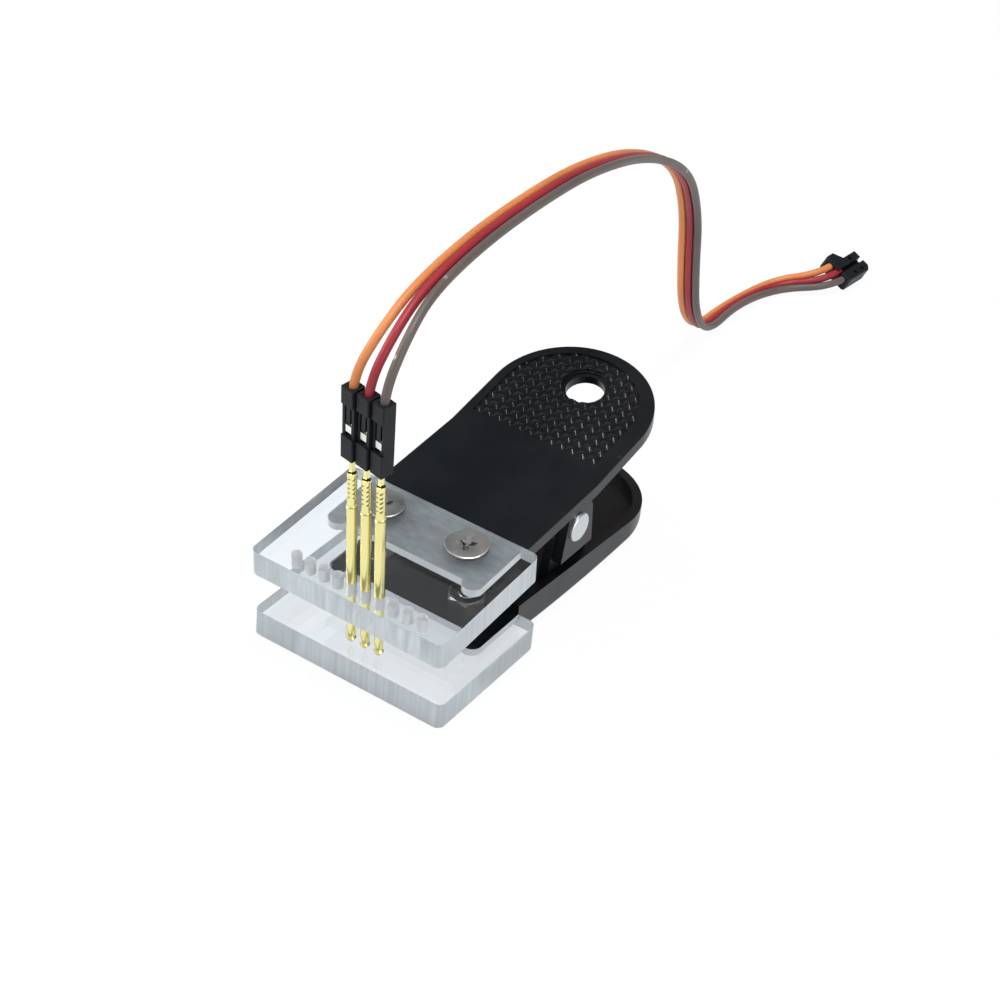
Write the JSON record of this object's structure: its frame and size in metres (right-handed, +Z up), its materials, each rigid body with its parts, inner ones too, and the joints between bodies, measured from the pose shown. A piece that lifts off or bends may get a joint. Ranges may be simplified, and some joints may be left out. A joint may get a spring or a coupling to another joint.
{
  "type": "pogo pin test clip",
  "caption": "Sprung test clip with clear jaw plates, a row of spring probes and a ribbon lead that ends in a small connector.",
  "frame": {"origin": "bottom centre of the clip's own box, the lead and its end connector left out", "axes": "+Y from the probes towards the handles, +X to the right seen from the probes, +Z up"},
  "size_m": [0.035, 0.1641, 0.0654],
  "materials": {
    "clear_acrylic": "polished faces, frosted cut edges",
    "lever_plastic": "fine satin black",
    "pin_steel": "satin",
    "spring_steel": "satin",
    "screw_steel": "nickel plated",
    "gold": "polished gold plating",
    "connector_plastic": "satin black",
    "contact_metal": "satin tin plating",
    "wire_orange": "satin insulation",
    "wire_red": "satin insulation",
    "wire_brown": "satin insulation"
  },
  "bodies": {
    "upper_half": {"upper_lever": "lever_plastic", "upper_plate": "clear_acrylic", "pivot_pin": "pin_steel", "torsion_spring": "spring_steel", "upper_screw_left": "screw_steel", "upper_screw_right": "screw_steel", "upper_nut_left": "screw_steel", "upper_nut_right": "screw_steel", "receptacle_1": "gold", "probe_barrel_1": "gold", "probe_spring_1": "spring_steel", "pin_housing_1": "connector_plastic", "male_pin_1": "gold", "receptacle_2": "gold", "probe_barrel_2": "gold", "probe_spring_2": "spring_steel", "pin_housing_2": "connector_plastic", "male_pin_2": "gold", "receptacle_3": "gold", "probe_barrel_3": "gold", "probe_spring_3": "spring_steel", "pin_housing_3": "connector_plastic", "male_pin_3": "gold", "wire_orange": "wire_orange", "wire_red": "wire_red", "wire_brown": "wire_brown", "end_connector": "connector_plastic", "end_contact_1": "contact_metal", "end_contact_2": "contact_metal", "end_contact_3": "contact_metal"},
    "lower_half": {"lower_lever": "lever_plastic", "lower_plate": "clear_acrylic", "lower_screw_left": "screw_steel", "lower_screw_right": "screw_steel", "lower_nut_left": "screw_steel", "lower_nut_right": "screw_steel"},
    "plunger_1": {"plunger_1": "gold"},
    "plunger_2": {"plunger_2": "gold"},
    "plunger_3": {"plunger_3": "gold"}
  },
  "joints": [
    {"name": "jaw_hinge", "type": "hinge", "parent": "upper_half", "child": "lower_half", "pos_m": [0, 0.00561, 0.0134], "axis": [1, 0, 0], "range_deg": [0, 20], "stiffness_Nm_per_rad": 0.1, "springref_deg": -57.3, "deforming": ["torsion_spring"]},
    {"name": "probe_travel_1", "type": "slide", "parent": "upper_half", "child": "plunger_1", "axis": [0, 0.0724, -0.9974], "range_m": [0, 0.006], "deforming": ["probe_spring_1"]},
    {"name": "probe_travel_2", "type": "slide", "parent": "upper_half", "child": "plunger_2", "axis": [0, 0.0724, -0.9974], "range_m": [0, 0.006], "deforming": ["probe_spring_2"]},
    {"name": "probe_travel_3", "type": "slide", "parent": "upper_half", "child": "plunger_3", "axis": [0, 0.0724, -0.9974], "range_m": [0, 0.006], "deforming": ["probe_spring_3"]}
  ],
  "couplings": [
    {"joint": "probe_travel_1", "follows": "jaw_hinge", "m_per_rad": 0.0171},
    {"joint": "probe_travel_2", "follows": "jaw_hinge", "m_per_rad": 0.0171},
    {"joint": "probe_travel_3", "follows": "jaw_hinge", "m_per_rad": 0.0171}
  ]
}
